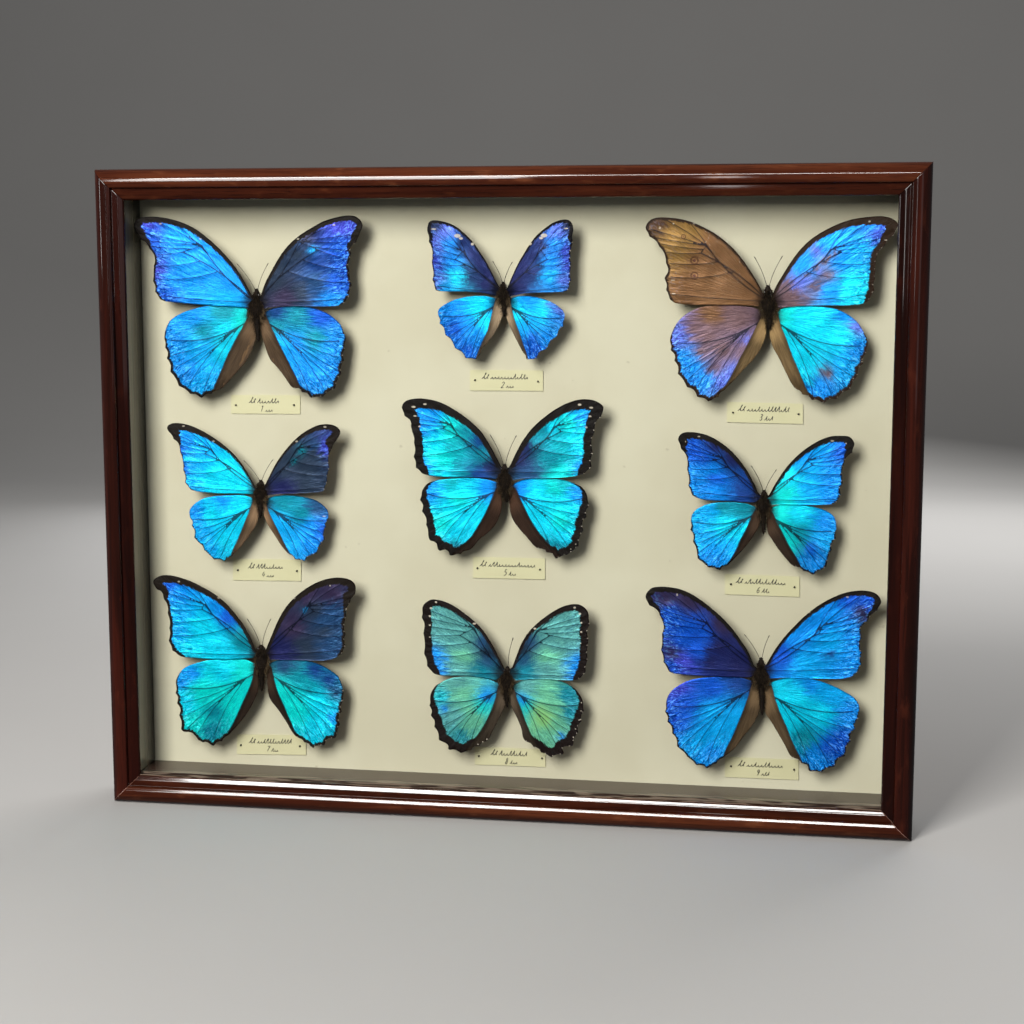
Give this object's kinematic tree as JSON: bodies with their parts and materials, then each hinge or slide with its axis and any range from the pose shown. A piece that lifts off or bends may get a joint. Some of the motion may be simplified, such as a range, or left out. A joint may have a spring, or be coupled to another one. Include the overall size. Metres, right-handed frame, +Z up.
{
  "type": "framed butterfly specimen",
  "caption": "Glazed wooden display box with pinned blue butterflies on a cream board, each with a small card label, for a wall or a shelf.",
  "frame": {"origin": "centre of the bottom edge: middle of the box's width and depth, on the plane that it stands on", "axes": "+Z up, +X to the viewer's right along the box's width, -Y out of the glass towards the viewer"},
  "size_m": [0.5, 0.054, 0.398],
  "materials": {
    "mahogany": "glossy red-brown lacquer over straight grain",
    "glass": "clear flat glass",
    "lining": "dark grey-brown satin paint",
    "cream_board": "matte cream paper over light board",
    "fibre_board": "raw brown fibre board",
    "plated_steel": "bright plated sheet steel",
    "pin_steel": "black enamelled steel",
    "card": "cream card",
    "wings_1": "iridescent blue scales with dark brown margins",
    "wings_2": "iridescent blue scales with dark brown margins",
    "wings_3": "iridescent blue scales with dark brown margins",
    "wings_4": "iridescent blue scales with dark brown margins",
    "wings_5": "iridescent blue scales with dark brown margins",
    "wings_6": "iridescent blue scales with dark brown margins",
    "wings_7": "iridescent blue scales with dark brown margins",
    "wings_8": "blue-green scales with dark brown margins",
    "wings_9": "iridescent blue scales with dark brown margins"
  },
  "bodies": {
    "root": {"rail_top": "mahogany", "rail_bottom": "mahogany", "rail_left": "mahogany", "rail_right": "mahogany", "glass_pane": "glass", "lining_top": "lining", "lining_bottom": "lining", "lining_left": "lining", "lining_right": "lining", "backing_board": "cream_board", "back_panel": "fibre_board", "sawtooth_hanger": "plated_steel", "hanger_nail_left": "plated_steel", "hanger_nail_right": "plated_steel", "butterfly_1": "wings_1", "butterfly_2": "wings_2", "butterfly_3": "wings_3", "butterfly_4": "wings_4", "butterfly_5": "wings_5", "butterfly_6": "wings_6", "butterfly_7": "wings_7", "butterfly_8": "wings_8", "butterfly_9": "wings_9", "specimen_pin_1": "pin_steel", "specimen_pin_2": "pin_steel", "specimen_pin_3": "pin_steel", "specimen_pin_4": "pin_steel", "specimen_pin_5": "pin_steel", "specimen_pin_6": "pin_steel", "specimen_pin_7": "pin_steel", "specimen_pin_8": "pin_steel", "specimen_pin_9": "pin_steel", "label_1": "card", "label_2": "card", "label_3": "card", "label_4": "card", "label_5": "card", "label_6": "card", "label_7": "card", "label_8": "card", "label_9": "card", "label_pin_1a": "pin_steel", "label_pin_1b": "pin_steel", "label_pin_2a": "pin_steel", "label_pin_2b": "pin_steel", "label_pin_3a": "pin_steel", "label_pin_3b": "pin_steel", "label_pin_4a": "pin_steel", "label_pin_4b": "pin_steel", "label_pin_5a": "pin_steel", "label_pin_5b": "pin_steel", "label_pin_6a": "pin_steel", "label_pin_6b": "pin_steel", "label_pin_7a": "pin_steel", "label_pin_7b": "pin_steel", "label_pin_8a": "pin_steel", "label_pin_8b": "pin_steel", "label_pin_9a": "pin_steel", "label_pin_9b": "pin_steel"}
  },
  "joints": []
}
